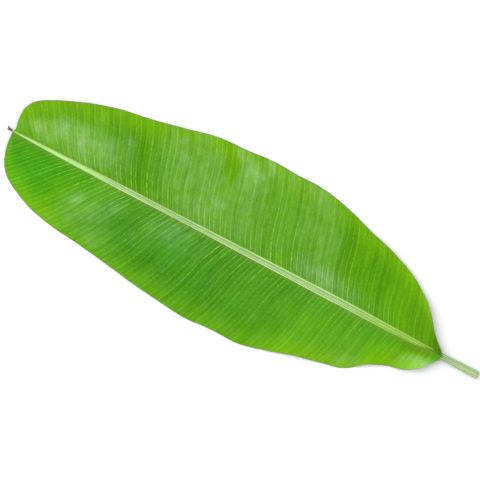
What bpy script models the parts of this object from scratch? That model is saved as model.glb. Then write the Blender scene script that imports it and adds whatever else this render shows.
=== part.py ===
"""A cut banana leaf, lying with its upper side up on the keel of its midrib.

Metres, +Z up. The origin is on the flat underside of the keel, half way along the blade.
+X runs along the midrib from the leaf's tip to its stalk, and +Y points to the wider half of the blade.
The blade is one pleated sheet with a long slot, through which the pale channel of the midrib shows.
"""

import math

import bmesh
import bpy
import numpy as np

MM = 0.001  # the sizes below are in millimetres

# Sheet of the blade and its lateral ribs
BLADE_THICKNESS = 0.8
RIB_COUNT = 84
RIB_HEIGHT = 0.7
RIB_FADE = 0.15  # share of a rib's length over which it rises out of the midrib
SEAT_GAP = 0.3  # clearance between the blade and what carries it
ROW_SHARES = (0.0, 0.045, 0.18, 0.37, 0.58, 0.8, 1.0)  # mesh rows from the midrib out to the margin

# Run of the lateral veins and swell of the blade
VEIN_BEND = 4.0  # S-bend of a vein at full width
FULL_WIDTH = 235.0
MARGIN_FALL = 1.8  # power by which the blade comes down from the midrib to its margin
SWELL_HEIGHT = 3.5
SWELL_LENGTH = 190.0
SWELL_TURN = {1: 0.4, -1: 2.3}  # where the swell starts on each half, in radians

# Each row: a vein's start along the midrib, then the x, distance from the midrib and height of its margin end
WIDE_MARGIN = (
    (-607, -602, 8, 4),
    (-582, -607, 35, 7),
    (-557, -607, 62, 5),
    (-532, -598, 84, 1),
    (-500, -577, 103, 0),
    (-455, -533, 125, 3),
    (-400, -480, 147, 6),
    (-328, -405, 171, 2),
    (-240, -315, 188, 0),
    (-155, -225, 207, 5),
    (-75, -148, 225, 10),
    (20, -55, 231, 3),
    (75, 0, 237, 0),
    (150, 75, 234, 6),
    (220, 148, 234, 1),
    (290, 222, 221, 0),
    (365, 308, 194, 8),
    (445, 395, 168, 13),
    (510, 471, 133, 12),
    (555, 527, 88, 22),
    (585, 567, 39, 24),
    (605, 602, 8, 19),
)
NARROW_MARGIN = (
    (-607, -606, 8, 4),
    (-575, -603, 31, 6),
    (-540, -598, 56, 4),
    (-505, -589, 81, 1),
    (-470, -572, 104, 0),
    (-425, -541, 125, 0),
    (-365, -485, 149, 3),
    (-300, -415, 166, 1),
    (-230, -335, 175, 0),
    (-160, -255, 185, 4),
    (-85, -175, 197, 7),
    (-5, -85, 208, 2),
    (62, -10, 215, 0),
    (132, 65, 209, 5),
    (195, 135, 210, 0),
    (260, 207, 193, 3),
    (325, 280, 170, 9),
    (390, 350, 154, 4),
    (445, 410, 137, 0),
    (485, 452, 103, 11),
    (520, 495, 85, 4),
    (555, 538, 73, 10),
    (585, 574, 48, 19),
    (605, 601, 13, 18),
)

# Height of the arch of each half above a straight line from midrib to margin, along the midrib
ARCH = ((-607, 0), (-560, 3), (-450, 9), (-250, 16), (0, 22), (200, 20), (400, 14), (520, 6), (580, 1), (605, 0))

# Half width of the slot between the two halves, where the channel shows
SLOT = (
    (-592, 0.0),
    (-582, 1.4),
    (-567, 2.5),
    (-530, 3.7),
    (-440, 5.0),
    (-340, 6.2),
    (-200, 6.6),
    (-40, 7.5),
    (70, 8.6),
    (220, 8.8),
    (320, 9.6),
    (400, 8.8),
    (470, 7.9),
    (530, 5.0),
    (560, 2.5),
    (580, 0.0),
)

# Midrib and petiole, from tip to cut end: x, half width, height, half width of the channel, depth of the channel
STALK = (
    (-606, 1.9, 2.6, 0.7, 0.5),
    (-560, 4.2, 3.6, 2.8, 1.0),
    (-440, 7.0, 5.6, 5.2, 1.9),
    (-300, 9.0, 8.0, 6.5, 3.0),
    (-100, 10.4, 11.0, 7.2, 4.2),
    (100, 12.0, 14.0, 8.7, 5.4),
    (300, 13.2, 17.0, 9.5, 6.8),
    (420, 13.0, 18.5, 8.8, 8.0),
    (520, 11.5, 18.0, 7.0, 8.6),
    (605, 7.8, 15.5, 5.2, 7.0),
    (650, 8.5, 15.0, 6.0, 6.2),
    (710, 10.0, 14.5, 7.6, 6.0),
)
STALK_STEP = 33.0  # length of one facet along the stalk
STALK_START = -606.0
STALK_END = 710.0
KEEL_FLAT = 0.3  # share of the half width that is flat where the keel rests
CUT_SLANT = 4.0  # how far the top of the cut end leans towards the tip

# Dry tip: x, y and height of the middle of the withered thread, and its radius
TIP_PATH = (
    (-606.5, 0.0, 1.4, 1.0),
    (-609.5, 0.4, 1.6, 1.4),
    (-613.0, 0.2, 2.3, 2.0),
    (-616.5, 1.2, 3.2, 1.7),
    (-620.0, 2.8, 4.6, 1.3),
    (-622.5, 5.0, 6.2, 0.9),
    (-623.2, 6.6, 7.4, 0.6),
)
TIP_SIDES = 8

BLADE_GREEN = (0.133, 0.376, 0.026, 1.0)
STALK_GREEN = (0.392, 0.604, 0.205, 1.0)
DRY_BROWN = (0.105, 0.062, 0.030, 1.0)


def clear_scene():
    for obj in list(bpy.data.objects):
        bpy.data.objects.remove(obj, do_unlink=True)


def smooth_curve(rows, column, may_overshoot=True):
    """A function of the first column that runs smoothly through another column of a table."""
    at = np.array([row[0] for row in rows], float)
    value = np.array([row[column] for row in rows], float)
    step = np.diff(at)
    slope = np.diff(value) / step
    tangent = np.concatenate([slope[:1], np.zeros(len(at) - 2), slope[-1:]])
    for i in range(1, len(at) - 1):
        before, after = slope[i - 1], slope[i]
        if may_overshoot:
            tangent[i] = (before * step[i] + after * step[i - 1]) / (step[i - 1] + step[i])
        elif before * after > 0:
            tangent[i] = 2 * before * after / (before + after)

    def read(x):
        x = min(max(x, at[0]), at[-1])
        i = min(int(np.searchsorted(at, x, side="right")) - 1, len(step) - 1)
        u = (x - at[i]) / step[i]
        start_part = (1 + 2 * u) * (1 - u) ** 2 * value[i] + u * (1 - u) ** 2 * step[i] * tangent[i]
        end_part = u * u * (3 - 2 * u) * value[i + 1] + u * u * (u - 1) * step[i] * tangent[i + 1]
        return float(start_part + end_part)

    return read


def margin_curves(rows):
    return smooth_curve(rows, 1), smooth_curve(rows, 2), smooth_curve(rows, 3, may_overshoot=False)


MARGIN = {1: margin_curves(WIDE_MARGIN), -1: margin_curves(NARROW_MARGIN)}
arch_height = smooth_curve(ARCH, 1, may_overshoot=False)
slot_half_width = smooth_curve(SLOT, 1, may_overshoot=False)
stalk_half_width, stalk_height, channel_half_width, channel_depth = (
    smooth_curve(STALK, column, may_overshoot=False) for column in (1, 2, 3, 4)
)


def vein_point(side, start, share):
    """The point at a share of the way along the vein that leaves the midrib at start, on the sheet's middle."""
    margin_x, margin_y, margin_z = (curve(start) for curve in MARGIN[side])
    slot = slot_half_width(start)
    reach = margin_y - slot
    width_share = reach / FULL_WIDTH
    bend = VEIN_BEND * width_share * math.sin(2 * math.pi * share)
    x = start + (margin_x - start) * share - bend
    y = side * (slot + reach * share)
    half_sheet = BLADE_THICKNESS / 2
    root_z = stalk_height(start) + SEAT_GAP + half_sheet
    fall = share**MARGIN_FALL
    bulge = math.sin(math.pi * share)
    swell = SWELL_HEIGHT * width_share * math.sin(2 * math.pi * start / SWELL_LENGTH + SWELL_TURN[side])
    z = root_z * (1 - fall) + (margin_z + half_sheet) * fall + (arch_height(start) + swell) * bulge
    return x, y, z


def make_material(name, colour, roughness):
    material = bpy.data.materials.new(name)
    material.use_nodes = True
    shader = material.node_tree.nodes["Principled BSDF"]
    shader.inputs["Base Color"].default_value = colour
    shader.inputs["Roughness"].default_value = roughness
    shader.inputs["Metallic"].default_value = 0.0
    return material


def add_object(name, mesh_builder, material):
    """Turns a bmesh in millimetres into a named object in metres."""
    bmesh.ops.scale(mesh_builder, vec=(MM, MM, MM), verts=mesh_builder.verts)
    mesh = bpy.data.meshes.new(name)
    mesh_builder.to_mesh(mesh)
    mesh_builder.free()
    mesh.materials.append(material)
    obj = bpy.data.objects.new(name, mesh)
    bpy.context.scene.collection.objects.link(obj)
    return obj


def add_triangles(mesh_builder, lower, upper, turned):
    """Two triangles for each cell between two neighbouring rows of points."""
    for a, b, c, d in zip(lower, lower[1:], upper[1:], upper):
        for corners in ((a, b, c), (a, c, d)):
            if len(set(corners)) == 3:
                mesh_builder.faces.new(corners[::-1] if turned else corners)


def build_blade():
    """Both halves as one sheet: they meet at the tip and over the petiole, and the slot lies between."""
    column_count = 2 * RIB_COUNT + 1
    first, last = WIDE_MARGIN[0][0], WIDE_MARGIN[-1][0]
    starts = np.linspace(first, last, column_count)
    mesh_builder = bmesh.new()
    middle = {}
    for side in (1, -1):
        columns = []
        for index, start in enumerate(starts):
            column = []
            for share in ROW_SHARES:
                x, y, z = vein_point(side, start, share)
                on_crest = index % 2 == 1
                z += RIB_HEIGHT * min(share / RIB_FADE, 1.0) if on_crest else 0.0
                if share == 0.0 and y == 0.0:
                    if index not in middle:
                        middle[index] = mesh_builder.verts.new((x, y, z))
                    column.append(middle[index])
                else:
                    column.append(mesh_builder.verts.new((x, y, z)))
            columns.append(column)
        for near, far in zip(columns, columns[1:]):
            add_triangles(mesh_builder, near, far, turned=side == 1)
    blade = add_object("blade", mesh_builder, make_material("leaf_green", BLADE_GREEN, 0.42))
    sheet = blade.modifiers.new("sheet", "SOLIDIFY")
    sheet.thickness = BLADE_THICKNESS * MM
    sheet.offset = 0.0
    blade.data.shade_smooth()
    return blade


def stalk_section(x):
    """The ring of (y, z) points of the midrib or petiole at x: flat keel, round flanks, wings and channel."""
    half, height = stalk_half_width(x), stalk_height(x)
    channel, depth = channel_half_width(x), channel_depth(x)
    flat = KEEL_FLAT * half
    flank = []
    for angle in (22, 45, 68, 90):
        turn = math.radians(angle)
        flank.append((flat + (half - flat) * math.sin(turn), 0.66 * height * (1 - math.cos(turn))))
    wing = [((half + channel) / 2 + 0.25 * (half - channel), height)]
    trough = [
        (channel * math.cos(math.radians(angle)), height - depth * math.sin(math.radians(angle)))
        for angle in (0, 30, 60)
    ]
    right = [(flat, 0.0), *flank, *wing, *trough]
    left = [(-y, z) for y, z in reversed(right)]
    return [*right, (0.0, height - depth), *left]


def build_stalk():
    """The midrib with its petiole, as rings of points joined from the tip to the cut end."""
    count = round((STALK_END - STALK_START) / STALK_STEP)
    mesh_builder = bmesh.new()
    rings = []
    for index in range(count + 1):
        x = STALK_START + (STALK_END - STALK_START) * index / count
        slant = CUT_SLANT if index == count else 0.0
        top = stalk_height(x)
        rings.append([mesh_builder.verts.new((x - slant * z / top, y, z)) for y, z in stalk_section(x)])
    for near, far in zip(rings, rings[1:]):
        add_triangles(mesh_builder, near + near[:1], far + far[:1], turned=True)
    mesh_builder.faces.new(rings[0])
    mesh_builder.faces.new(rings[-1][::-1])
    bmesh.ops.recalc_face_normals(mesh_builder, faces=mesh_builder.faces)
    stalk = add_object("midrib_and_petiole", mesh_builder, make_material("midrib_green", STALK_GREEN, 0.5))
    stalk.data.shade_smooth()
    stalk.data.set_sharp_from_angle(angle=math.radians(40))
    return stalk


def build_dry_tip():
    """The withered thread in which the midrib ends, as a tapering bent tube."""
    curve = bpy.data.curves.new("dry_tip", "CURVE")
    curve.dimensions = "3D"
    curve.bevel_depth = MM
    curve.bevel_resolution = TIP_SIDES // 4
    curve.use_fill_caps = True
    spline = curve.splines.new("POLY")
    spline.points.add(len(TIP_PATH) - 1)
    for point, (x, y, z, radius) in zip(spline.points, TIP_PATH):
        point.co = (x * MM, y * MM, z * MM, 1.0)
        point.radius = radius
    curve.materials.append(make_material("dry_brown", DRY_BROWN, 0.8))
    tip = bpy.data.objects.new("dry_tip", curve)
    bpy.context.scene.collection.objects.link(tip)
    return tip


def main():
    clear_scene()
    build_blade()
    build_stalk()
    build_dry_tip()


main()
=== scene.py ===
import math

import bmesh
import bpy
import numpy as np
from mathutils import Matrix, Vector


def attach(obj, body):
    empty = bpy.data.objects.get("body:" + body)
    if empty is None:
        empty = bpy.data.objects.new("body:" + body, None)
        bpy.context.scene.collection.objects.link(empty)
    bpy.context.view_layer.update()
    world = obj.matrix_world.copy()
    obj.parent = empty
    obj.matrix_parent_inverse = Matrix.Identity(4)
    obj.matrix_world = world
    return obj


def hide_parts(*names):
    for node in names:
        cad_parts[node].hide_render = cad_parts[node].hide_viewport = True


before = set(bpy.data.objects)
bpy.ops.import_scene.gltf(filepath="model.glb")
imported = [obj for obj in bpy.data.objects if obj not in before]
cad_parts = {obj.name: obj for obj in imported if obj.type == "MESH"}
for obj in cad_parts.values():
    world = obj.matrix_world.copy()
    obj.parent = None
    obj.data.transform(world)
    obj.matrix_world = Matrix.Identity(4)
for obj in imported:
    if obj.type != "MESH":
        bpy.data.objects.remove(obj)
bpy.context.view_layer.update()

mm = 0.001  # the numbers below are millimetres unless a name says otherwise


def fromScreen(red, green, blue):
    # a colour as seen on a screen, 0 to 255, as Blender's linear light
    light = [c / 255 for c in (red, green, blue)]
    return tuple(c / 12.92 if c <= 0.04045 else ((c + 0.055) / 1.055) ** 2.4 for c in light) + (1.0,)


def allFromScreen(colours):
    return {key: fromScreen(*value) for key, value in colours.items()}


def smoothCurve(rows, column, overshoot=False):
    # reads one column of a table as a smooth function of its first column, for whole arrays
    at = np.array([row[0] for row in rows], float)
    value = np.array([row[column] for row in rows], float)
    step = np.diff(at)
    slope = np.diff(value) / step
    before, after = slope[:-1], slope[1:]
    if overshoot:
        inner = (before * step[1:] + after * step[:-1]) / (step[:-1] + step[1:])
    else:
        both = before * after
        inner = np.where(both > 0, 2 * both / np.where(both > 0, before + after, 1.0), 0.0)
    tangent = np.concatenate([slope[:1], inner, slope[-1:]])

    def read(x):
        x = np.clip(x, at[0], at[-1])
        i = np.clip(np.searchsorted(at, x, side="right") - 1, 0, len(step) - 1)
        u = (x - at[i]) / step[i]
        return (
            (1 + 2 * u) * (1 - u) ** 2 * value[i]
            + u * (1 - u) ** 2 * step[i] * tangent[i]
            + u * u * (3 - 2 * u) * value[i + 1]
            + u * u * (u - 1) * step[i] * tangent[i + 1]
        )

    return read


def easeBetween(low, high, x):
    u = np.clip((x - low) / (high - low), 0, 1)
    return u * u * (3 - 2 * u)


def gridFaces(rowCount, columnCount, flipped=False):
    # quads of a grid of points stored row by row
    row = np.arange(rowCount - 1)[:, None] * columnCount
    a = (row + np.arange(columnCount - 1)).ravel()
    b = a + columnCount
    quads = np.stack([a, a + 1, b + 1, b], 1)
    return (quads[:, ::-1] if flipped else quads).tolist()


def tubeFaces(ringCount, around):
    # the same for rings that close, with the seam's quads last
    first = np.arange(ringCount - 1) * around
    seam = np.stack([first + around - 1, first, first + around, first + 2 * around - 1], 1)
    return gridFaces(ringCount, around) + seam.tolist()


def addObject(name, data):
    thing = bpy.data.objects.new(name, data)
    bpy.context.scene.collection.objects.link(thing)
    return thing


def meshPiece(name, points, faces, turnOutward=False):
    mesh = bpy.data.meshes.new(name)
    mesh.from_pydata((np.asarray(points) * mm).tolist(), [], faces)
    if turnOutward:
        builder = bmesh.new()
        builder.from_mesh(mesh)
        bmesh.ops.recalc_face_normals(builder, faces=builder.faces)
        builder.to_mesh(mesh)
        builder.free()
    return addObject(name, mesh)


def pointValues(mesh, name, values):
    layer = mesh.attributes.new(name, "FLOAT", "POINT")
    layer.data.foreach_set("value", np.asarray(values, np.float32).ravel())


def cornerVertices(mesh):
    # the vertex at each corner of the faces
    corner = np.zeros(len(mesh.loops), np.int32)
    mesh.loops.foreach_get("vertex_index", corner)
    return corner


def vertexPlaces(mesh):
    places = np.zeros(len(mesh.vertices) * 3)
    mesh.vertices.foreach_get("co", places)
    return places.reshape(-1, 3)


def addMap(mesh, name, cornerPlaces):
    # a UV map from one place for each corner
    layer = mesh.uv_layers.new(name=name)
    layer.data.foreach_set("uv", np.asarray(cornerPlaces, np.float32).ravel())


class NodeDesk:
    # lays nodes in a tree and joins them: a socket, a number or a colour may stand for any input
    def __init__(self, tree):
        self.tree = tree
        self.count = 0

    def put(self, kind, inputs=None, out=0, **settings):
        node = self.tree.nodes.new(kind)
        node.location = (220 * (self.count % 12), -260 * (self.count // 12))
        self.count += 1
        for key, value in settings.items():
            setattr(node, key, value)
        for key, value in (inputs or {}).items():
            self.feed(node.inputs[key], value)
        return node if out is None else node.outputs[out]

    def feed(self, socket, value):
        if isinstance(value, bpy.types.NodeSocket):
            self.tree.links.new(value, socket)
        else:
            socket.default_value = value

    def math(self, operation, a, b=0.0, c=0.0, clamp=False):
        return self.put("ShaderNodeMath", {0: a, 1: b, 2: c}, operation=operation, use_clamp=clamp)

    def times(self, *values):
        total = values[0]
        for value in values[1:]:
            total = self.math("MULTIPLY", total, value)
        return total

    def plus(self, *values):
        total = values[0]
        for value in values[1:]:
            total = self.math("ADD", total, value)
        return total

    def remap(self, value, fromLow, fromHigh, toLow=0.0, toHigh=1.0, smooth=True):
        return self.put(
            "ShaderNodeMapRange",
            {"Value": value, "From Min": fromLow, "From Max": fromHigh, "To Min": toLow, "To Max": toHigh},
            interpolation_type="SMOOTHSTEP" if smooth else "LINEAR",
        )

    def blend(self, share, a, b):
        node = self.put("ShaderNodeMix", None, None, data_type="RGBA")
        for index, value in ((0, share), (6, a), (7, b)):
            self.feed(node.inputs[index], value)
        return node.outputs[2]

    def noise(self, where, scale, detail=2.0, roughness=0.5):
        inputs = {"Vector": where, "Scale": scale, "Detail": detail, "Roughness": roughness}
        return self.put("ShaderNodeTexNoise", inputs)

    def pulse(self, phase, halfWidth):
        # 1 on whole numbers of phase, falling to 0 at halfWidth to each side
        away = self.math("PINGPONG", phase, 0.5)
        return self.remap(away, 0.0, halfWidth, 1.0, 0.0)

    def spread(self, noise, low, high):
        # noise, which keeps mostly between 0.3 and 0.7, as a number from low to high
        return self.remap(noise, 0.3, 0.7, low, high, smooth=False)

    def attribute(self, key):
        # a number kept for each vertex, in a material
        return self.put("ShaderNodeAttribute", None, 2, attribute_name=key)

    def named(self, key):
        # the same in a Geometry Nodes tree
        return self.put("GeometryNodeInputNamedAttribute", {"Name": key}, data_type="FLOAT")

    def split(self, vector):
        return self.put("ShaderNodeSeparateXYZ", {0: vector}, None).outputs

    def join(self, x, y, z):
        return self.put("ShaderNodeCombineXYZ", {0: x, 1: y, 2: z})

    def scaled(self, vector, factor):
        return self.put("ShaderNodeVectorMath", {0: vector, "Scale": factor}, operation="SCALE")

    def moved(self, geometry, height, chosen=True):
        # chosen points moved along their normals
        offset = self.scaled(self.put("GeometryNodeInputNormal"), height)
        inputs = {"Geometry": geometry, "Selection": chosen, "Offset": offset}
        return self.put("GeometryNodeSetPosition", inputs)

    def cellWalls(self, where, scale):
        # distance to the walls between cells
        wanted = {"Vector": where, "Scale": scale, "Randomness": 0.7}
        return self.put("ShaderNodeTexVoronoi", wanted, feature="DISTANCE_TO_EDGE")

    def bump(self, shader, strength, relief):
        wanted = {"Strength": strength, "Distance": 0.0003, "Height": relief}
        self.feed(shader.inputs["Normal"], self.put("ShaderNodeBump", wanted))


# the leaf's shape as the CAD has it, and the slot with its two unlike edges

wideMargin = (  # vein's start along the midrib, then its margin end: x, distance from the midrib, height
    (-607, -602, 8, 4),
    (-582, -607, 35, 7),
    (-557, -607, 62, 5),
    (-532, -598, 84, 1),
    (-500, -577, 103, 0),
    (-455, -533, 125, 3),
    (-400, -480, 147, 6),
    (-328, -405, 171, 2),
    (-240, -315, 188, 0),
    (-155, -225, 207, 5),
    (-75, -148, 225, 10),
    (20, -55, 231, 3),
    (75, 0, 237, 0),
    (150, 75, 234, 6),
    (220, 148, 234, 1),
    (290, 222, 221, 0),
    (365, 308, 194, 8),
    (445, 395, 168, 13),
    (510, 471, 133, 12),
    (555, 527, 88, 22),
    (585, 567, 39, 24),
    (605, 602, 8, 19),
)
narrowMargin = (
    (-607, -606, 8, 4),
    (-575, -603, 31, 6),
    (-540, -598, 56, 4),
    (-505, -589, 81, 1),
    (-470, -572, 104, 0),
    (-425, -541, 125, 0),
    (-365, -485, 149, 3),
    (-300, -415, 166, 1),
    (-230, -335, 175, 0),
    (-160, -255, 185, 4),
    (-85, -175, 197, 7),
    (-5, -85, 208, 2),
    (62, -10, 215, 0),
    (132, 65, 209, 5),
    (195, 135, 210, 0),
    (260, 207, 193, 3),
    (325, 280, 170, 9),
    (390, 350, 154, 4),
    (445, 410, 137, 0),
    (485, 452, 103, 11),
    (520, 495, 85, 4),
    (555, 538, 73, 10),
    (585, 574, 48, 19),
    (605, 601, 13, 18),
)
archRows = (  # x, then how far each half arches up between midrib and margin
    (-607, 0), (-560, 3), (-450, 9), (-250, 16), (0, 22),
    (200, 20), (400, 14), (520, 6), (580, 1), (605, 0),
)
slotRows = (  # x, then how far the wide half and the narrow half keep from the midrib's middle line
    (-592, 0.0, 0.0),
    (-582, 1.4, 1.4),
    (-567, 2.5, 2.4),
    (-530, 3.7, 3.3),
    (-440, 5.1, 4.2),
    (-340, 6.3, 5.0),
    (-200, 7.1, 4.8),
    (-40, 8.6, 4.9),
    (70, 9.8, 5.4),
    (220, 10.2, 5.8),
    (320, 10.7, 6.6),
    (400, 9.2, 7.0),
    (470, 8.0, 6.6),
    (510, 7.7, 6.2),
    (530, 6.9, 5.0),
    (550, 5.4, 2.2),
    (570, 3.6, -0.4),
    (584, 1.4, -1.4),
    (592, 0.6, -0.6),
    (600, 0.0, 0.0),
)
stalkRows = (  # x, half width, height, half width of the channel, depth of the channel
    (-606, 1.9, 2.6, 0.7, 0.5),
    (-560, 4.2, 3.6, 2.8, 1.0),
    (-440, 7.0, 5.6, 5.2, 1.9),
    (-300, 9.0, 8.0, 6.5, 3.0),
    (-100, 10.4, 11.0, 7.2, 4.2),
    (100, 12.0, 14.0, 8.7, 5.4),
    (300, 13.2, 17.0, 9.5, 6.8),
    (420, 13.0, 18.5, 8.8, 8.0),
    (520, 11.5, 18.0, 7.0, 8.6),
    (605, 7.8, 15.5, 5.2, 7.0),
    (650, 8.5, 15.0, 6.0, 6.2),
    (710, 10.0, 14.5, 7.6, 6.0),
)

marginX, marginY, marginZ = (
    {side: smoothCurve(rows, column, wavy) for side, rows in ((1, wideMargin), (-1, narrowMargin))}
    for column, wavy in ((1, True), (2, True), (3, False))
)
archHeight = smoothCurve(archRows, 1)
slotEdge = {1: smoothCurve(slotRows, 1), -1: smoothCurve(slotRows, 2)}
stalkHalf, stalkHeight, channelHalf, channelDepth = (
    smoothCurve(stalkRows, column) for column in (1, 2, 3, 4)
)

blade = {
    "firstVein": -607.0,
    "lastVein": 605.0,
    "veinCount": {1: 84, -1: 101},  # 1 is the wide half, -1 the narrow half
    "veinPhases": (0.0, 0.05, 0.13, 0.31, 0.5, 0.69, 0.87, 0.95),  # mesh columns from one vein to the next
    "rowCount": 52,
    "rowCloseness": 0.11,  # rows are closer at the midrib and the margin
    "rootLift": 0.7,  # of the sheet's middle over the midrib, then over the margin's height
    "marginLift": 0.4,
    "veinBend": 4.0,
    "fullWidth": 235.0,
    "marginFall": 1.8,
    "swellHeight": 3.5,
    "swellLength": 190.0,
    "swellTurn": {1: 0.4, -1: 2.3},
    "grooveDepth": 1.3,  # where the blade leaves the midrib
    "grooveWidth": 5.0,
    "closingAt": (545, 590),  # where the halves close over the channel and fold down into it
    "closingReach": 9.0,
    "closingDepth": 3.2,
    "reliefDrop": 0.35,  # away from the midrib, as the relief stands on the sheet's upper side
    "edgeWave": 0.7,  # in the margin's line
    "edgeLift": 1.1,  # in the margin's height
    "rootSweep": {1: 3.5, -1: -1.5},  # how veins turn where they leave the midrib
    "sweepLength": 26.0,
    "veinJitter": 0.16,  # share of the distance from one vein to the next
    "thickness": 0.6,
    "veinHeight": 0.22,
    "underVeinHeight": 0.45,
    "pleatDepth": 0.75,
    "rippleHeight": 0.9,
    "rippleScale": 9.0,  # waves to a metre
    "seed": 7,
    "veinFade": {  # how clear veins are: a first value, then changes from one x to another
        1: (0.72, ((-330, -230, 0.28), (250, 430, -0.45), (430, 560, -0.35))),
        -1: (1.0, ((40, 220, -0.35), (300, 500, -0.5))),
    },
    "tipFade": (-680, -450),
    "ribLineHalf": 1.3,
    "ribLineEnd": (-592, -555),
    "veinLook": {  # of the wide and the narrow half, widths as shares of the way to the next vein
        "half": {1: 0.14, -1: 0.16},
        "weakest": {1: 0.2, -1: 0.3},
        "strongest": {1: 0.98, -1: 0.95},
        "everySecond": {1: -0.06, -1: -0.16},
        "middleHalf": {1: 0.15, -1: 0.14},
        "middle": {1: 0.32, -1: 0.14},
        "ribStrip": {1: 8.0, -1: 15.0},  # mm, the warm strip beside the midrib
    },
    # the ground's warmth (0 cool green, 1 yellow green), lightness with painted light and shade,
    # and painted sheen (a whitish painted reflection), and what is added towards the margin
    "ground": {1: (0.54, 0.835, 0.17), -1: (0.13, 0.785, 0.1)},
    "edgeGround": {1: (0.36, 0.08, -0.12), -1: (0.46, 0.16, -0.02)},
    "patchFall": (0.8, 1.3),  # how fast a patch fades, and how flat its middle is
    # soft patches: vein's start, distance from the midrib, half length, half width,
    # then the warmth, lightness (partly painted light and shade) and painted sheen that they add
    "patches": {
        1: (
            (-500, 60, 110, 150, 0.22, 0.08, 0),
            (-524, 33, 26, 17, 0.1, 0.02, 0.6),
            (-452, 62, 18, 26, -0.1, 0, 0.4),
            (-405, 54, 98, 34, 0.15, 0.06, 0.8),
            (-500, 82, 30, 26, -0.1, -0.12, -0.7),
            (-548, 58, 20, 22, 0, -0.05, -0.6),
            (-480, 112, 62, 34, -0.02, 0, -0.16),
            (-425, 118, 40, 30, -0.05, -0.1, -0.3),
            (-290, 97, 15, 22, 0, 0.05, 0.5),
            (-258, 72, 48, 98, -0.1, -0.12, -0.2),
            (-256, 160, 40, 20, 0.18, 0.05, -0.1),
            (-186, 172, 16, 24, -0.1, -0.05, 0),
            (-30, 212, 60, 18, 0.14, 0.02, -0.1),
            (-154, 152, 19, 28, -0.08, -0.03, 0.36),
            (-85, 92, 90, 108, 0.14, 0.03, 0.4),
            (-43, 57, 26, 22, 0, 0, 0.16),
            (-25, 168, 17, 38, 0.04, -0.05, -0.8),
            (0, 206, 24, 20, 0.1, 0.05, 0.6),
            (37, 164, 33, 34, 0.12, 0.07, 0.8),
            (94, 165, 20, 40, 0.06, 0.05, 0.1),
            (79, 214, 19, 24, 0.08, 0.05, 0.66),
            (131, 214, 22, 20, 0.02, 0.02, 0.4),
            (50, 60, 40, 50, 0, 0, 0.22),
            (230, 125, 56, 100, 0.05, 0.02, 0.22),
            (215, 214, 30, 26, 0.05, 0.03, 0.45),
            (262, 22, 76, 28, 0, -0.04, 0.66),
            (318, 112, 20, 62, 0, -0.12, -0.5),
            (385, 95, 40, 60, -0.06, -0.06, -0.3),
            (535, 100, 90, 150, 0.16, 0.07, -0.36),
            (560, 30, 45, 38, 0, -0.14, -0.2),
            (592, 14, 12, 60, 0, -0.3, -0.2),
        ),
        -1: (
            (-465, 75, 95, 150, -0.14, 0.15, -0.3),
            (-560, 15, 30, 24, 0.1, 0, 0),
            (-335, 75, 52, 125, 0.25, 0.13, 0.02),
            (-334, 76, 18, 24, 0.08, 0.04, 0.5),
            (-290, 98, 24, 20, 0.08, 0.04, 0.45),
            (-264, 62, 27, 32, 0.08, 0.03, 0.45),
            (-235, 132, 50, 32, 0.1, 0.05, 0.3),
            (-105, 40, 70, 34, 0.08, 0.02, 0.4),
            (-95, 135, 62, 36, -0.02, -0.1, -0.04),
            (60, 50, 56, 62, 0, -0.05, 0),
            (200, 45, 45, 35, 0, -0.06, 0),
            (235, 160, 45, 35, 0.1, 0.07, 0),
            (380, 22, 120, 34, -0.14, -0.07, 0),
            (395, 100, 150, 150, 0.38, 0.19, 0),
            (425, 112, 30, 26, 0.05, 0.03, 0.28),
            (502, 62, 48, 46, 0.42, 0.14, -0.1),
            # painted light and painted sheen on the lower lobe, which curls up at the base
            (568, 44, 36, 27, 0.7, 0.4, 1.0),
            # painted shade in the dark fold just beneath the midrib at the base
            (548, 12, 36, 13, 0.5, -0.24, -1.0),
        ),
    },
}


def bladePoints(side, start, share):
    # the middle of the sheet, as the CAD's rule gives it
    slot = slotEdge[side](start)
    reach = marginY[side](start) - slot
    widthShare = reach / blade["fullWidth"]
    bend = blade["veinBend"] * widthShare * np.sin(2 * np.pi * share)
    x = start + (marginX[side](start) - start) * share - bend
    y = slot + reach * share
    rootZ = stalkHeight(start) + blade["rootLift"]
    marginEnd = marginZ[side](start) + blade["marginLift"]
    fall = share ** blade["marginFall"]
    turn = 2 * np.pi * start / blade["swellLength"] + blade["swellTurn"][side]
    swell = blade["swellHeight"] * widthShare * np.sin(turn)
    z = rootZ * (1 - fall) + marginEnd * fall + (archHeight(start) + swell) * np.sin(np.pi * share)
    return x, y, z


def leafTones(side, start, toRib, share):
    # warmth, lightness with painted light and shade, and painted sheen over one half: a ground, a change
    # towards the margin, and soft patches
    margin = easeBetween(0.6, 1.0, share)
    grounds = zip(blade["ground"][side], blade["edgeGround"][side])
    tones = [ground + edge * margin for ground, edge in grounds]
    fade, flatness = blade["patchFall"]
    for centre, reach, along, across, *adds in blade["patches"][side]:
        away = ((start - centre) / along) ** 2 + ((toRib - reach) / across) ** 2
        weight = np.exp(-(away**flatness) * fade)
        tones = [tone + add * weight for tone, add in zip(tones, adds)]
    return [np.clip(tone, 0.0, 1.3) for tone in tones]


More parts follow.
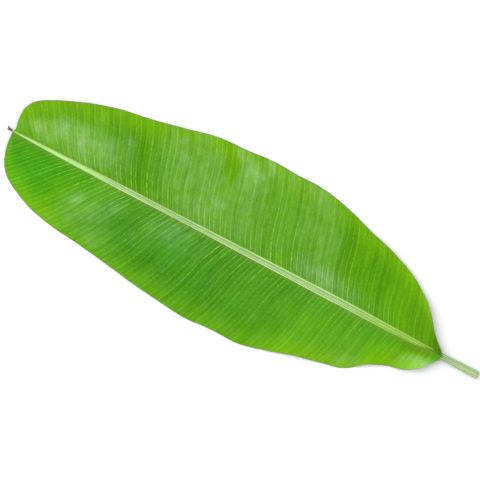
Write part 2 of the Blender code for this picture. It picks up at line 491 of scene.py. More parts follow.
def bladeSheet(name, side):
    # one half as a single sheet of points, with the numbers that its relief and colours follow
    veins = blade["veinCount"][side]
    phase = [vein + part for vein in range(veins) for part in blade["veinPhases"]]
    phase = np.array(phase + [float(veins)])
    chance = np.random.default_rng(blade["seed"] + side)
    shift = chance.uniform(-1, 1, veins + 1) * blade["veinJitter"]
    shift[0] = shift[-1] = 0.0
    uneven = phase + np.interp(phase, np.arange(veins + 1), shift)
    start = blade["firstVein"] + (blade["lastVein"] - blade["firstVein"]) * uneven / veins
    even = np.linspace(0, 1, blade["rowCount"])
    share = even - blade["rowCloseness"] * np.sin(2 * np.pi * even)
    start, share = np.meshgrid(start, share, indexing="ij")
    x, y, z = bladePoints(side, start, share)
    slot = slotEdge[side](start)
    reach = marginY[side](start) - slot
    toRib = share * reach
    toEdge = (1 - share) * reach
    toEdge[[0, -1], :] = 0.0  # the first and the last vein are margins too
    opening = np.clip(slot / 2.0, 0, 1)
    z = z - blade["grooveDepth"] * opening * np.exp(-((toRib - 1.5) / blade["grooveWidth"]) ** 2)
    closing = easeBetween(*blade["closingAt"], start)
    closing = closing * np.clip(1 - toRib / blade["closingReach"], 0, 1) ** 2
    z = z - blade["closingDepth"] * closing
    # veins turn where they leave the midrib
    turning = easeBetween(-600, -540, start) * (1 - easeBetween(520, 585, start))
    x = x + blade["rootSweep"][side] * np.exp(-toRib / blade["sweepLength"]) * turning
    # the margin wanders in its line and in its height
    wander = np.sin(start / 11.3 + 1.3 * side) + 0.7 * np.sin(start / 5.9 + 2.0)
    wander = wander + 0.5 * np.sin(start / 23.0 - side)
    nearEdge = easeBetween(0.80, 1.0, share)
    y = y - blade["edgeWave"] * (0.5 + 0.25 * wander) * nearEdge
    lift = np.sin(start / 15.5 + 0.8 * side) * 0.6 + np.sin(start / 31.0 + 1.1) * 0.8
    lift = np.maximum(lift, -0.2 * (z > 3)) * np.clip(z / 3.0, 0.25, 1)
    inside = easeBetween(-600, -520, start) * (1 - easeBetween(500, 590, start))
    z = z + blade["edgeLift"] * lift * nearEdge * inside
    z = z - blade["reliefDrop"] * easeBetween(10.0, 40.0, toRib)
    rows, columns = start.shape
    points = np.stack([x, side * y, z], -1).reshape(-1, 3)
    piece = meshPiece(name, points, gridFaces(rows, columns, flipped=side == 1))
    mesh = piece.data
    fade, changes = blade["veinFade"][side]
    for low, high, change in changes:
        fade = fade + change * easeBetween(low, high, start)
    phases = np.repeat(phase, columns)
    values = {
        "veinPhase": phases,
        "toRib": toRib,
        "toEdge": toEdge,
        "veinFade": fade * easeBetween(*blade["tipFade"], start),
        "ribLine": blade["ribLineHalf"] * (1 - easeBetween(*blade["ribLineEnd"], start)),
    }
    values.update(zip(("warmth", "lightness", "gloss"), leafTones(side, start, toRib, share)))
    for key, numbers in values.items():
        pointValues(mesh, key, numbers)
    addMap(mesh, "veinMap", np.stack([phases, (toRib / 10).ravel()], 1)[cornerVertices(mesh)])
    return piece


def reliefTree(name, material):
    # raises the veins, pleats the strips between them, ripples the whole and gives it its thickness
    wanted = {
        "Vein height": blade["veinHeight"],
        "Under vein height": blade["underVeinHeight"],
        "Pleat depth": blade["pleatDepth"],
        "Ripple height": blade["rippleHeight"],
        "Ripple scale": blade["rippleScale"],
        "Sheet thickness": blade["thickness"],
    }
    tree, desk, given = newTree(name, wanted, "Leaf material")

    def luck(number, low, high):
        # one random number for each vein or strip
        inputs = {2: low, 3: high, 7: number, 8: given["Seed"]}
        return desk.put("FunctionNodeRandomValue", inputs, 1, data_type="FLOAT")

    def markSide(geometry, value):
        inputs = {"Geometry": geometry, "Name": "upperSide", "Value": value}
        return desk.put("GeometryNodeStoreNamedAttribute", inputs, data_type="FLOAT", domain="FACE")

    phase, toRib, toEdge = (desk.named(key) for key in ("veinPhase", "toRib", "toEdge"))
    place = desk.put("GeometryNodeInputPosition")
    veinLuck = luck(desk.math("ROUND", phase), 0.55, 1.25)
    stripLuck = luck(desk.math("FLOOR", phase), 0.45, 1.35)
    middle = desk.times(desk.pulse(desk.math("ADD", phase, 0.5), 0.19), 0.35)
    bead = desk.plus(desk.pulse(phase, 0.085), middle)
    rise = desk.remap(toRib, 0.0, 14.0)
    edgeFade = desk.remap(toEdge, 0.0, 9.0, 0.25, 1.0)
    arch = desk.math("SINE", desk.times(desk.math("FRACT", phase), math.pi))
    arch = desk.math("SUBTRACT", arch, 0.5)
    wander = desk.remap(desk.noise(place, 14.0, 1.0), 0.25, 0.75, 0.35, 1.3, smooth=False)
    pleat = desk.times(arch, stripLuck, wander, rise, edgeFade, given["Pleat depth"], mm)
    ripple = desk.noise(place, given["Ripple scale"], 2.0, 0.45)
    ripple = desk.math("SUBTRACT", ripple, 0.5)
    rippleFade = desk.times(desk.remap(toRib, 4.0, 60.0), desk.remap(toEdge, 0.0, 45.0))
    ripple = desk.times(ripple, 2.0, rippleFade, given["Ripple height"], mm)
    upperBead = desk.times(bead, veinLuck, rise, edgeFade, given["Vein height"], mm)
    raised = desk.moved(given["Geometry"], desk.plus(pleat, ripple, upperBead))
    edgeThick = desk.remap(toEdge, 0.0, 1.6, 1.55, 1.0)
    thickness = desk.times(given["Sheet thickness"], mm, edgeThick)
    growth = {"Mesh": raised, "Offset Scale": thickness, "Individual": False}
    grown = desk.put("GeometryNodeExtrudeMesh", growth, None)
    top = markSide(grown.outputs["Mesh"], grown.outputs["Top"])
    underDrop = desk.times(bead, veinLuck, rise, edgeFade, given["Under vein height"], mm)
    under = desk.put("GeometryNodeFlipFaces", {"Mesh": raised})
    under = desk.moved(under, underDrop, desk.math("GREATER_THAN", toEdge, 0.5))
    joined = desk.put("GeometryNodeJoinGeometry", {"Geometry": top})
    tree.links.new(markSide(under, 0.0), joined.node.inputs["Geometry"])
    welded = desk.put("GeometryNodeMergeByDistance", {"Geometry": joined, "Distance": 0.00001})
    finishTree(desk, welded, given["Leaf material"])
    return tree, {**wanted, "Seed": blade["seed"], "Leaf material": material}


def newTree(name, numbers, materialName):
    # a Geometry Nodes tree with named number inputs, a seed and a material
    tree = bpy.data.node_groups.new(name, "GeometryNodeTree")
    face = tree.interface
    face.new_socket("Geometry", in_out="INPUT", socket_type="NodeSocketGeometry")
    for key in numbers:
        face.new_socket(key, in_out="INPUT", socket_type="NodeSocketFloat")
    face.new_socket("Seed", in_out="INPUT", socket_type="NodeSocketInt")
    face.new_socket(materialName, in_out="INPUT", socket_type="NodeSocketMaterial")
    face.new_socket("Geometry", in_out="OUTPUT", socket_type="NodeSocketGeometry")
    desk = NodeDesk(tree)
    given = desk.put("NodeGroupInput", None, None).outputs
    return tree, desk, given


def finishTree(desk, geometry, material):
    smooth = desk.put("GeometryNodeSetShadeSmooth", {"Geometry": geometry})
    real = desk.put("GeometryNodeRealizeInstances", {"Geometry": smooth})
    dressed = desk.put("GeometryNodeSetMaterial", {"Geometry": real, "Material": material})
    desk.put("NodeGroupOutput", {"Geometry": dressed}, None)


def applyTree(piece, tree, wanted):
    # runs the tree on the piece and keeps the plain mesh that comes out
    modifier = piece.modifiers.new(tree.name, "NODES")
    modifier.node_group = tree
    for item in tree.interface.items_tree:
        if item.in_out == "INPUT" and item.name in wanted:
            modifier[item.identifier] = wanted[item.name]
    bpy.context.view_layer.update()
    evaluated = piece.evaluated_get(bpy.context.evaluated_depsgraph_get())
    mesh = bpy.data.meshes.new_from_object(evaluated)
    mesh.name = piece.name
    piece.modifiers.remove(modifier)
    old, piece.data = piece.data, mesh
    bpy.data.meshes.remove(old)


def bakeLayout(piece):
    # upper side in the lower half of the map, underside and rims in the upper half, both seen from above
    mesh = piece.data
    places = vertexPlaces(mesh)[cornerVertices(mesh)]
    upper = np.zeros(len(mesh.polygons), np.float32)
    mesh.attributes["upperSide"].data.foreach_get("value", upper)
    sizes = np.zeros(len(mesh.polygons), np.int32)
    mesh.polygons.foreach_get("loop_total", sizes)
    upper = np.repeat(upper, sizes)
    low, high = places.min(0), places.max(0)
    u, v = ((places - low) / (high - low)).T[:2]
    v = 0.01 + 0.47 * v + np.where(upper > 0.5, 0.0, 0.51)
    addMap(mesh, "OFBake", np.stack([0.01 + 0.98 * u, v], 1))


leafColours = {
    "cool": (62, 156, 0),
    "warm": (112, 174, 0),
    "vein": (150, 209, 92),
    "fineVein": (124, 190, 36),
    "paintedSheen": (206, 226, 196),
    "ribShade": (128, 146, 62),
    "ribLine": (188, 226, 140),
    "rim": (104, 112, 44),
    "under": (126, 168, 92),
    "underDeep": (104, 150, 74),
    "underVein": (172, 204, 136),
}


def newMaterial(name, roughness, specular=0.5):
    material = bpy.data.materials.new(name)
    material.use_nodes = True
    tree = material.node_tree
    shader = tree.nodes["Principled BSDF"]
    shader.inputs["Roughness"].default_value = roughness
    shader.inputs["Specular IOR Level"].default_value = specular
    return material, NodeDesk(tree), shader


def leafMaterial(name, side):
    # blade green: soft tones with painted light and shade, strips with painted shade between veins, veins
    # and finer lines, grain, painted sheen, margin and underside
    material, desk, shader = newMaterial(name, 0.5, 0.06)
    colour = allFromScreen(leafColours)
    look = {key: values[side] for key, values in blade["veinLook"].items()}
    acrossVeins, along = desk.split(desk.put("ShaderNodeUVMap", None, uv_map="veinMap"))[:2]
    place = desk.put("ShaderNodeTexCoord", None, 3)
    wobble = desk.math("SUBTRACT", desk.noise(place, 70.0, 2.0), 0.5)
    phase = desk.math("MULTIPLY_ADD", wobble, 0.24, acrossVeins)
    keys = "toEdge toRib upperSide warmth lightness gloss veinFade ribLine"
    toEdge, toRib, upper, warmth, lightness, gloss, veinFade, lineHalf = (
        desk.attribute(key) for key in keys.split()
    )

    def veinNoise(acrossScale, alongScale, shift, detail=3.0):
        # noise stretched along the veins
        across, down = desk.times(phase, acrossScale), desk.times(along, alongScale)
        return desk.noise(desk.join(across, down, side * 3.0 + shift), 1.0, detail, 0.6)

    def luck(number, shift):
        # one random number for each vein or strip
        where = {"W": desk.math("ADD", number, shift)}
        return desk.put("ShaderNodeTexWhiteNoise", where, noise_dimensions="1D")

    broad = desk.noise(place, 11.0, 3.0, 0.55)
    streak = veinNoise(0.9, 0.10, 0.0)
    thread = veinNoise(3.1, 0.35, 7.0)
    grain = veinNoise(5.2, 2.2, 13.0, 2.0)
    stripLuck = luck(desk.math("FLOOR", phase), 0.37)
    veinNumber = desk.math("ROUND", phase)
    veinLuck = luck(veinNumber, 0.71)

    # ground between the veins
    warm = desk.plus(warmth, desk.spread(broad, -0.12, 0.12), desk.spread(streak, -0.12, 0.12))
    base = desk.blend(desk.math("ADD", warm, 0.0, clamp=True), colour["cool"], colour["warm"])
    light = desk.plus(
        lightness,
        desk.spread(streak, -0.07, 0.07),
        desk.spread(thread, -0.05, 0.05),
        desk.spread(grain, -0.08, 0.08),
        desk.remap(stripLuck, 0.0, 1.0, -0.05, 0.05, smooth=False),
        desk.spread(desk.noise(place, 230.0, 2.0), -0.06, 0.06),
    )
    # painted shade: strips are a little darker away from their veins
    trough = desk.remap(desk.math("PINGPONG", phase, 0.5), 0.06, 0.24)
    lit = desk.scaled(base, desk.math("MULTIPLY_ADD", trough, -0.08, light))
    # painted sheen, a whitish painted reflection, broken up along the veins
    breaks = desk.times(
        desk.spread(streak, 0.65, 1.25),
        desk.spread(thread, 0.6, 1.4),
        desk.remap(stripLuck, 0.0, 1.0, 0.85, 1.15, smooth=False),
        desk.remap(desk.noise(place, 34.0, 3.0, 0.6), 0.36, 0.64, 0.55, 1.45),
    )
    # veins: a strong one, then a weaker one, a fine one half way between, all clearer near the midrib
    strength = desk.remap(veinLuck, 0.0, 1.0, look["weakest"], look["strongest"], smooth=False)
    parity = desk.math("PINGPONG", veinNumber, 1.0)
    strength = desk.math("MULTIPLY_ADD", parity, look["everySecond"], strength)
    patchy = desk.remap(veinNoise(1.0, 0.9, 21.0), 0.34, 0.66, 0.12, 1.2)
    near = desk.times(desk.remap(toRib, 12.0, 75.0, 1.2, 0.45), veinFade)
    vein = desk.times(desk.pulse(phase, look["half"]), strength, patchy, near)
    patchyMiddle = desk.remap(veinNoise(1.3, 0.5, 29.0, 2.0), 0.36, 0.66, 0.25, 1.0)
    middleVein = desk.pulse(desk.math("ADD", phase, 0.5), look["middleHalf"])
    middleVein = desk.times(middleVein, patchyMiddle, near, look["middle"])
    seventh = desk.times(phase, 7.0)
    fine = desk.times(desk.pulse(seventh, 0.36), desk.remap(grain, 0.35, 0.65, 0.02, 0.16))
    base = desk.blend(desk.math("MAXIMUM", middleVein, fine), lit, colour["fineVein"])
    base = desk.blend(vein, base, colour["vein"])
    # the painted sheen laid over the ground and the veins
    base = desk.blend(desk.times(gloss, breaks, 0.135), base, colour["paintedSheen"])
    # beside the midrib: a warm paler strip, and near the tip a pale line that carries the midrib on
    most = desk.remap(desk.split(place)[0], 0.0, 0.45, 0.34, 0.15) if side == 1 else 0.36
    shade = desk.times(desk.remap(toRib, 1.0, look["ribStrip"], 1.0, 0.0), most)
    base = desk.blend(shade, base, colour["ribShade"])
    line = desk.remap(desk.math("SUBTRACT", toRib, lineHalf), -0.7, 0.5, 1.0, 0.0)
    line = desk.times(line, desk.remap(lineHalf, 0.15, 0.8))
    base = desk.blend(line, base, colour["ribLine"])
    # the margin's thin rim
    rimWidth = desk.remap(broad, 0.35, 0.65, 1.0, 2.4, smooth=False)
    rim = desk.remap(desk.math("DIVIDE", toEdge, rimWidth), 0.3, 1.0, 0.8, 0.0)
    base = desk.blend(rim, base, colour["rim"])

    below = desk.blend(desk.remap(streak, 0.3, 0.7), colour["under"], colour["underDeep"])
    for share in (
        desk.remap(thread, 0.35, 0.7, 0.0, 0.35),
        desk.times(desk.pulse(phase, 0.13), 0.75),
        desk.times(middleVein, 0.8),
    ):
        below = desk.blend(share, below, colour["underVein"])
    below = desk.blend(rim, below, colour["rim"])
    desk.feed(shader.inputs["Base Color"], desk.blend(upper, below, base))
    rough = desk.math("MULTIPLY_ADD", gloss, -0.04, desk.spread(grain, 0.42, 0.54))
    under = desk.math("SUBTRACT", 1.0, upper)
    desk.feed(shader.inputs["Roughness"], desk.math("MULTIPLY_ADD", under, 0.22, rough))
    relief = desk.plus(
        desk.times(desk.pulse(seventh, 0.4), 0.5),
        desk.times(thread, 0.8),
        desk.times(grain, 0.6),
        desk.times(desk.noise(place, 900.0, 2.0), 0.25),
    )
    desk.bump(shader, 0.35, relief)
    return material


stalk = {
    "start": -606.0,
    "end": 710.0,
    "step": 2.7,
    "cutSlant": 4.0,
    "cutMiddle": (708.5, 0.0, 4.6),  # where the cut end's rings meet
    "keelFlat": 0.3,  # share of the half width
    "flankHigh": 0.66,  # where the flank is widest, share of the height
    "beadShare": 0.2,  # radius of the pale bead along the channel, to the channel's half width
    "beadRise": 1.25,
    "channelStretch": {1: 1.11, -1: 0.68},  # the channel's share of its width on each side, along the blade
    "baseStretch": {1: 1.0, -1: 0.8},  # and where it closes at the base
    "fibreHeight": 0.22,
    "fibreScale": 1.0,
    "cellDepth": 0.9,
    "cellScale": 520.0,  # air cells of the cut end, to a metre
    "capRings": 16,
    "bakeStrips": 8,
    "bruise": (672.0, -4.5, 14.5),
    "seed": 3,
}


def channelStretch(side, x):
    # the channel lies more to the wide half's side, but not at the tip and in the petiole
    part = float(easeBetween(-560, -100, x) * (1 - easeBetween(400, 440, x)))
    base = float(easeBetween(400, 440, x) * (1 - easeBetween(590, 620, x)))
    return 1 + part * (stalk["channelStretch"][side] - 1) + base * (stalk["baseStretch"][side] - 1)


def stalkFlank(x, side):
    # half a section from the keel's middle round one flank to the channel's: across, height, channel share
    curves = (stalkHalf, stalkHeight, channelHalf, channelDepth)
    half, high, channel, depth = (float(curve(x)) for curve in curves)
    channel *= channelStretch(side, x)
    flat = stalk["keelFlat"] * half
    shoulder = stalk["flankHigh"]
    lap = channel - float(slotEdge[side](x))  # how far the blade reaches over the channel's rim
    covered = float(np.clip((lap - 0.4) / 1.4, 0, 1) * (1 - easeBetween(602, 612, x)))
    rise = stalk["beadRise"] * (1 - covered) * min(1.0, channel / 5.0)
    bead = max(stalk["beadShare"] * channel, 0.25)
    middle = channel - bead + 0.5 * min(1.0, channel / 5.0)
    rimTop = high - 0.1 - 0.6 * covered
    points = [(0.0, 0.0, 0.0), (0.6 * flat, 0.0, 0.0)]
    for turn in np.linspace(0, math.pi / 2, 13):
        y = flat + (half - flat) * math.sin(turn)
        points.append((y, shoulder * high * (1 - math.cos(turn)), 0.0))
    outer = (half + channel) / 2 + 0.25 * (half - channel)
    for turn in np.linspace(0, math.pi / 2, 6)[1:]:
        y = outer + (half - outer) * math.cos(turn)
        points.append((y, high * (shoulder + 0.34 * math.sin(turn) ** 1.3) - 0.15, 0.0))
    foot = min(middle + bead, outer - 0.05)
    points.append(((outer + foot) / 2, high - 0.1 - 0.3 * covered, 0.2))
    for part in np.linspace(1, -1, 11):
        y = middle + (foot - middle if part > 0 else bead) * part
        points.append((y, rimTop + (rise + 0.1) * math.cos(part * math.pi / 2), 1.0))
    inner = middle - bead
    for turn in np.linspace(0, math.pi / 2, 12)[1:]:
        y = inner * math.cos(turn) ** 0.85 if turn < 1.57 else 0.0
        points.append((y, rimTop - max(depth - 0.1 - 0.6 * covered, 0.1) * math.sin(turn) ** 0.9, 1.0))
    return points


def buildStalk():
    length = stalk["end"] - stalk["start"]
    count = round(length / stalk["step"])
    points, bands, across = [], [], []
    for index in range(count + 1):
        x = stalk["start"] + length * index / count
        ring = stalkFlank(x, 1) + [(-y, z, top) for y, z, top in reversed(stalkFlank(x, -1)[1:-1])]
        lean = stalk["cutSlant"] * float(easeBetween(660, 710, x)) / float(stalkHeight(x))
        points += [(x - lean * z, y, z) for y, z, top in ring]
        bands += [top for y, z, top in ring]
        stretch = {way: channelStretch(way, x) * float(channelHalf(x)) for way in (1, -1)}
        across += [y / stretch[-1 if y < 0 else 1] for y, z, top in ring]
    around = len(ring)
    faces = tubeFaces(count + 1, around)
    # the tip's end is one plain face, and the cut end a set of rings shrinking to its middle
    faces.append(tuple(range(around)))
    last = count * around
    rim = np.array(points[last:])
    heart = np.array(stalk["cutMiddle"])
    capShare = [0.0] * len(points)
    before = list(range(last, last + around))
    for ringNumber in range(1, stalk["capRings"]):
        share = ringNumber / stalk["capRings"]
        now = list(range(len(points), len(points) + around))
        points += (rim + (heart - rim) * share).tolist()
        bands += [0.0] * around
        across += [0.0] * around
        capShare += [share] * around
        for k in range(around):
            after = (k + 1) % around
            faces.append((before[k], before[after], now[after], now[k]))
        before = now
    points.append(heart.tolist())
    bands.append(0.0)
    across.append(0.0)
    capShare.append(1.0)
    for k in range(around):
        faces.append((before[k], before[(k + 1) % around], len(points) - 1))
    piece = meshPiece("midribAndPetiole", points, faces, turnOutward=True)
    mesh = piece.data
    pointValues(mesh, "channelTop", bands)
    pointValues(mesh, "acrossChannel", across)
    pointValues(mesh, "cutShare", capShare)
    stalkLayout(mesh, count, around)
    return piece


def stalkLayout(mesh, count, around):
    # the stalk's length cut into strips that lie one above the other, with both ends above them
    perStrip = math.ceil(count / stalk["bakeStrips"])
    stripHigh = 0.9 / stalk["bakeStrips"]
    sideFaces = count * around
    points = vertexPlaces(mesh)
    spread = 0.095 / np.ptp(points[sideFaces : sideFaces + around], axis=0).max()
    layer = mesh.uv_layers.new(name="OFBake")
    for face in mesh.polygons:
        if face.index >= sideFaces:
            shift = 0.5 if face.index > sideFaces else 0.2
            for loop, vertex in zip(face.loop_indices, face.vertices):
                y, z = spread * points[vertex, 1:]
                layer.data[loop].uv = (shift + y, 0.902 + z)
            continue
        rows = [vertex // around for vertex in face.vertices]
        turns = [vertex % around for vertex in face.vertices]
        if max(turns) - min(turns) > 1:  # the seam's faces run on past the last column
            turns = [turn or around for turn in turns]
        strip = min(rows) // perStrip
        for loop, row, turn in zip(face.loop_indices, rows, turns):
            u = 0.005 + 0.99 * (row - strip * perStrip) / perStrip
            layer.data[loop].uv = (u, stripHigh * (strip + 0.02 + 0.96 * turn / around))


def fibreTree(material):
    # lengthwise fibres along the stalk, and air cells in its cut end
    wanted = {
        "Fibre height": stalk["fibreHeight"],
        "Fibre scale": stalk["fibreScale"],
        "Cell depth": stalk["cellDepth"],
        "Cell scale": stalk["cellScale"],
    }
    tree, desk, given = newTree("stalkFibres", wanted, "Stalk material")
    place = desk.put("GeometryNodeInputPosition")
    x, y, z = desk.split(place)
    seedShift = desk.math("MULTIPLY", given["Seed"], 3.7)
    length = desk.plus(desk.times(x, 9.0), seedShift)
    long = desk.join(length, desk.times(y, 520.0), desk.times(z, 520.0))
    fibre = desk.math("SUBTRACT", desk.noise(long, given["Fibre scale"], 2.0), 0.5)
    cutShare = desk.named("cutShare")
    onSide = desk.math("SUBTRACT", 1.0, desk.remap(cutShare, 0.0, 0.05))
    high = desk.remap(z, 0.0, 0.0015)
    lateral = desk.times(fibre, 2.0, onSide, high, given["Fibre height"], mm)
    pit = desk.remap(desk.cellWalls(place, given["Cell scale"]), 0.04, 0.3)
    inside = desk.remap(cutShare, 0.07, 0.16)
    pits = desk.times(pit, inside, given["Cell depth"], -mm)
    raised = desk.moved(given["Geometry"], desk.plus(lateral, pits))
    finishTree(desk, raised, given["Stalk material"])
    return tree, {**wanted, "Seed": stalk["seed"], "Stalk material": material}


stalkColours = {
    "middle": (170, 198, 138),
    "groove": (152, 184, 122),
    "beadWide": (190, 229, 145),
    "beadNarrowLit": (220, 250, 176),
    "line": (128, 164, 98),
    "tip": (186, 230, 146),
    "base": (160, 200, 86),
    "baseWallLit": (180, 214, 98),
    "end": (176, 192, 58),
    "keel": (140, 178, 92),
    "streak": (126, 164, 92),
    "petiole": (192, 216, 166),
    "petioleEdge": (122, 148, 106),
    "petioleWarm": (204, 226, 138),
    "cut": (196, 198, 140),
    "cutPit": (132, 140, 82),
    "mark": (90, 74, 44),
}


def stalkMaterial():
    # pale channel with brighter beads (partly painted highlight), painted light on the channel's wide wall
    # near the base, a greener keel with lengthwise streaks, and the cut end's cells
    material, desk, shader = newMaterial("midribGreen", 0.45, 0.2)
    colour = allFromScreen(stalkColours)
    place = desk.put("ShaderNodeTexCoord", None, 3)
    along, y, z = desk.split(place)
    signed, top, cut = (desk.attribute(key) for key in ("acrossChannel", "channelTop", "cutShare"))
    across = desk.math("ABSOLUTE", signed)
    long = desk.join(desk.times(along, 14.0), desk.times(y, 700.0), desk.times(z, 500.0))
    streak = desk.noise(long, 1.0, 4.0, 0.6)
    broad = desk.noise(place, 22.0, 3.0)
    # the beads are paler than the channel's middle, partly as a painted highlight, and the narrow side's
    # bead is painted lighter still, where it faces the light
    lower = desk.math("LESS_THAN", signed, 0.0)
    bead = desk.blend(lower, colour["beadWide"], colour["beadNarrowLit"])
    channel = desk.blend(desk.remap(broad, 0.35, 0.65, 0.0, 0.6), colour["middle"], colour["groove"])
    channel = desk.blend(desk.remap(across, 0.52, 0.74), channel, bead)
    # a fine darker line along the channel, where it has widened and up to half way along
    lineAway = desk.math("ABSOLUTE", desk.math("SUBTRACT", signed, 0.32))
    line = desk.remap(lineAway, 0.0, 0.22, 0.55, 0.0)
    lineReach = desk.times(desk.remap(along, -0.33, -0.22), desk.remap(along, 0.0, 0.12, 1.0, 0.0))
    channel = desk.blend(desk.times(line, lineReach), channel, colour["line"])
    channel = desk.blend(desk.remap(along, -0.42, -0.29, 0.85, 0.0), channel, colour["tip"])
    # near the base the wide side's wall is painted lighter: painted light where the deep channel shades it
    atBase = desk.blend(desk.remap(signed, -0.1, 0.5), colour["base"], colour["baseWallLit"])
    channel = desk.blend(desk.remap(along, 0.28, 0.50), channel, atBase)
    channel = desk.blend(desk.remap(along, 0.545, 0.575), channel, colour["end"])
    keel = desk.blend(desk.remap(broad, 0.35, 0.65, 0.0, 0.4), colour["keel"], colour["streak"])
    base = desk.blend(top, keel, channel)
    base = desk.blend(desk.remap(streak, 0.42, 0.75, 0.0, 0.55), base, colour["streak"])
    # the petiole: pale bands, a darker line beside the channel and along the flanks
    warmBand = desk.times(desk.remap(signed, -0.2, -0.7), desk.remap(along, 0.63, 0.68))
    petiole = desk.blend(warmBand, colour["petiole"], colour["petioleWarm"])
    darkLine = desk.times(desk.pulse(desk.times(signed, 1.7), 0.14), 0.55)
    edges = desk.math("MAXIMUM", desk.remap(across, 0.95, 1.3), darkLine)
    petiole = desk.blend(edges, petiole, colour["petioleEdge"])
    petiole = desk.blend(desk.remap(streak, 0.4, 0.75, 0.0, 0.6), petiole, colour["petioleEdge"])
    base = desk.blend(desk.remap(along, 0.598, 0.612), base, petiole)
    # one small bruise near the cut end
    spot = {0: place, 1: tuple(c * mm for c in stalk["bruise"])}
    away = desk.put("ShaderNodeVectorMath", spot, 1, operation="DISTANCE")
    away = desk.plus(away, desk.spread(desk.noise(place, 420.0, 2.0), -0.0016, 0.0016))
    base = desk.blend(desk.remap(away, 0.0012, 0.0034, 0.85, 0.0), base, colour["mark"])
    cells = desk.remap(desk.cellWalls(place, stalk["cellScale"]), 0.03, 0.22)
    face = desk.blend(cells, colour["cut"], colour["cutPit"])
    base = desk.blend(desk.remap(cut, 0.0, 0.06), base, face)
    desk.feed(shader.inputs["Base Color"], base)
    desk.feed(shader.inputs["Roughness"], desk.spread(streak, 0.36, 0.52))
    relief = desk.plus(desk.times(streak, 0.7), desk.times(desk.noise(place, 800.0, 2.0), 0.3))
    desk.bump(shader, 0.4, relief)
    return material


dryTip = {
    "thread": (  # x, across, height of the middle, radius
        (-603.5, 0.2, 3.6, 1.5),
        (-606.5, 0.1, 3.5, 2.1),
        (-610.0, 0.3, 3.2, 2.4),
        (-613.5, 0.7, 3.3, 2.3),
        (-616.5, 1.8, 3.9, 2.0),
        (-619.2, 3.2, 4.8, 1.7),
        (-621.4, 4.9, 5.9, 1.2),
        (-622.6, 6.3, 6.9, 0.4),
    ),
    "prong": (
        (-612.5, 0.2, 3.0, 1.5),
        (-616.0, -0.7, 2.7, 1.6),
        (-619.2, -1.6, 2.4, 1.3),
        (-622.2, -1.9, 2.6, 0.4),
    ),
    "ringSteps": 46,
    "ringSides": 18,
    "pleats": 5,
    "pleatDepth": 0.22,  # share of the radius
    "turns": 1.6,
    "colours": {"dark": (54, 38, 30), "light": (142, 118, 88), "green": (176, 206, 128)},
}


def threadRings(path, steps):
    # a pleated, twisted tube along the path with closed ends
    sides = dryTip["ringSides"]
    table = [(index, *row) for index, row in enumerate(path)]
    at = np.linspace(0, len(path) - 1, steps)
    centre = np.stack([smoothCurve(table, column, True)(at) for column in (1, 2, 3)], 1)
    radius = smoothCurve(table, 4)(at)
    tangent = np.gradient(centre, axis=0)
    tangent /= np.linalg.norm(tangent, axis=1)[:, None]
    side = np.cross(tangent, (0.0, 0.0, 1.0))
    side /= np.linalg.norm(side, axis=1)[:, None]
    up = np.cross(side, tangent)
    turn = np.linspace(0, 2 * np.pi, sides, endpoint=False)
    twist = dryTip["turns"] * 2 * np.pi * at / at[-1]
    shape = 1 + dryTip["pleatDepth"] * np.cos(dryTip["pleats"] * (turn[None, :] + twist[:, None]))
    shape += 0.12 * np.sin(2 * turn[None, :] + 3.1 * twist[:, None])
    reach = radius[:, None] * shape
    points = (
        centre[:, None, :]
        + side[:, None, :] * (reach * np.cos(turn))[:, :, None]
        + up[:, None, :] * (reach * np.sin(turn))[:, :, None]
    ).reshape(-1, 3)
    points[:, 2] = np.maximum(points[:, 2], 0.15)
    ends = [tuple(range(sides)), tuple(range((steps - 1) * sides, steps * sides))]
    return points, tubeFaces(steps, sides) + ends


def buildDryTip():
    points, faces = threadRings(dryTip["thread"], dryTip["ringSteps"])
    more, moreFaces = threadRings(dryTip["prong"], dryTip["ringSteps"] // 2)
    faces += [[index + len(points) for index in face] for face in moreFaces]
    piece = meshPiece("dryTip", np.concatenate([points, more]), faces, turnOutward=True)
    material, desk, shader = newMaterial("dryBrown", 0.75)
    colour = allFromScreen(dryTip["colours"])
    place = desk.put("ShaderNodeTexCoord", None, 3)
    x, y, z = desk.split(place)
    long = desk.join(desk.times(x, 90.0), desk.times(y, 700.0), z)
    streak = desk.remap(desk.noise(long, 1.0, 4.0, 0.65), 0.35, 0.7)
    base = desk.blend(streak, colour["dark"], colour["light"])
    base = desk.blend(desk.remap(x, -0.6115, -0.606), base, colour["green"])
    desk.feed(shader.inputs["Base Color"], base)
    rough = desk.remap(streak, 0.0, 1.0, 0.65, 0.85, smooth=False)
    desk.feed(shader.inputs["Roughness"], rough)
    desk.bump(shader, 0.5, desk.plus(streak, desk.times(desk.noise(place, 1500.0, 3.0), 0.6)))
    piece.data.materials.append(material)
    piece.data.shade_smooth()
    return piece


bladePieces = []
for side, half in ((1, "Wide"), (-1, "Narrow")):
    sheet = bladeSheet("blade" + half + "Half", side)
    applyTree(sheet, *reliefTree("leafRelief" + half, leafMaterial("leafGreen" + half, side)))
    bakeLayout(sheet)
    bladePieces.append(sheet)
    print(sheet.name, "faces", len(sheet.data.polygons))

midribPiece = buildStalk()
applyTree(midribPiece, *fibreTree(stalkMaterial()))
print("midribAndPetiole faces", len(midribPiece.data.polygons))
tipPiece = buildDryTip()
print("dryTip faces", len(tipPiece.data.polygons))

for piece, node, slotName in (
    *((half, "blade", "leaf_green") for half in bladePieces),
    (midribPiece, "midrib_and_petiole", "midrib_green"),
    (tipPiece, "dry_tip", "dry_brown"),
):
    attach(piece, "root")
    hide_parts(node)

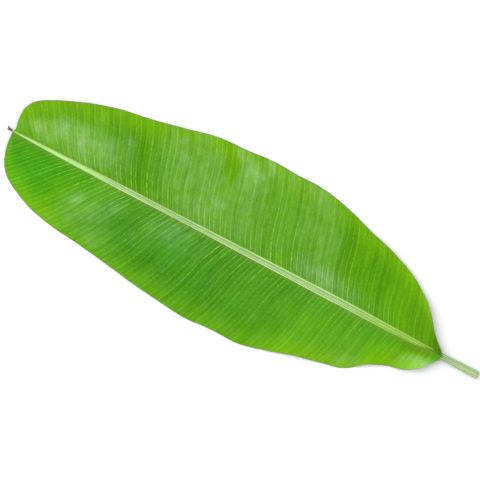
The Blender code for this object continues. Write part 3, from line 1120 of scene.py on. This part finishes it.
studio = {
    "photoTurn": 27.73,  # degrees from the leaf's midrib to the photo's lower edge
    "middle": (24.1, 22.9, 12.0),
    "frameWidth": 1200.0,
    "lens": 100.0,
    "sensor": 36.0,
    "clip": (0.05, 60.0),  # metres
    "floorReach": 8000.0,
    "floorDrop": 0.3,  # below the leaf's resting plane
    "floorColour": (0.9, 0.9, 0.9, 1.0),
    "lights": (  # name, towards it (photo's right, photo's top, up), how wide it looks in degrees, power
        ("keyLight", (-1.7, 1.1, 2.1), 55.0, 2.5),
        ("fillLight", (2.0, -0.9, 2.3), 70.0, 1.2),
    ),
    "worldLight": 0.34,
}


def aimAt(thing, place, target):
    thing.location = place
    thing.rotation_euler = (Vector(target) - Vector(place)).to_track_quat("-Z", "Y").to_euler()


def buildStudio():
    reach, drop = studio["floorReach"], studio["floorDrop"]
    corners = [(x * reach, y * reach, -drop) for x, y in ((-1, -1), (1, -1), (1, 1), (-1, 1))]
    floor = meshPiece("floor", corners, [(0, 1, 2, 3)])
    material, desk, shader = newMaterial("paleFloor", 0.7)
    shader.inputs["Base Color"].default_value = studio["floorColour"]
    floor.data.materials.append(material)

    turn = math.radians(studio["photoTurn"])
    right = np.array([math.cos(turn), math.sin(turn), 0.0])
    up = np.array([-math.sin(turn), math.cos(turn), 0.0])
    high = np.array([0.0, 0.0, 1.0])
    middle = np.array(studio["middle"]) * mm
    for name, towards, width, power in studio["lights"]:
        light = bpy.data.lights.new(name, "SUN")
        light.angle = math.radians(width)
        light.energy = power
        place = middle + towards[0] * right + towards[1] * up + towards[2] * high
        aimAt(addObject(name, light), tuple(place), tuple(middle))
    world = bpy.data.worlds.new("studioWorld")
    world.use_nodes = True
    background = world.node_tree.nodes["Background"].inputs
    background["Color"].default_value = (1.0, 1.0, 1.0, 1.0)
    background["Strength"].default_value = studio["worldLight"]
    bpy.context.scene.world = world

    lens = bpy.data.cameras.new("photoCamera")
    lens.lens = studio["lens"]
    lens.sensor_width = studio["sensor"]
    lens.clip_start, lens.clip_end = studio["clip"]
    camera = addObject("photoCamera", lens)
    distance = studio["frameWidth"] * mm * studio["lens"] / lens.sensor_width
    camera.location = tuple(middle + distance * high)
    camera.rotation_euler = (0.0, 0.0, turn)
    bpy.context.scene.camera = camera
    bpy.context.scene.view_settings.view_transform = "Standard"


buildStudio()
print("studio ready")
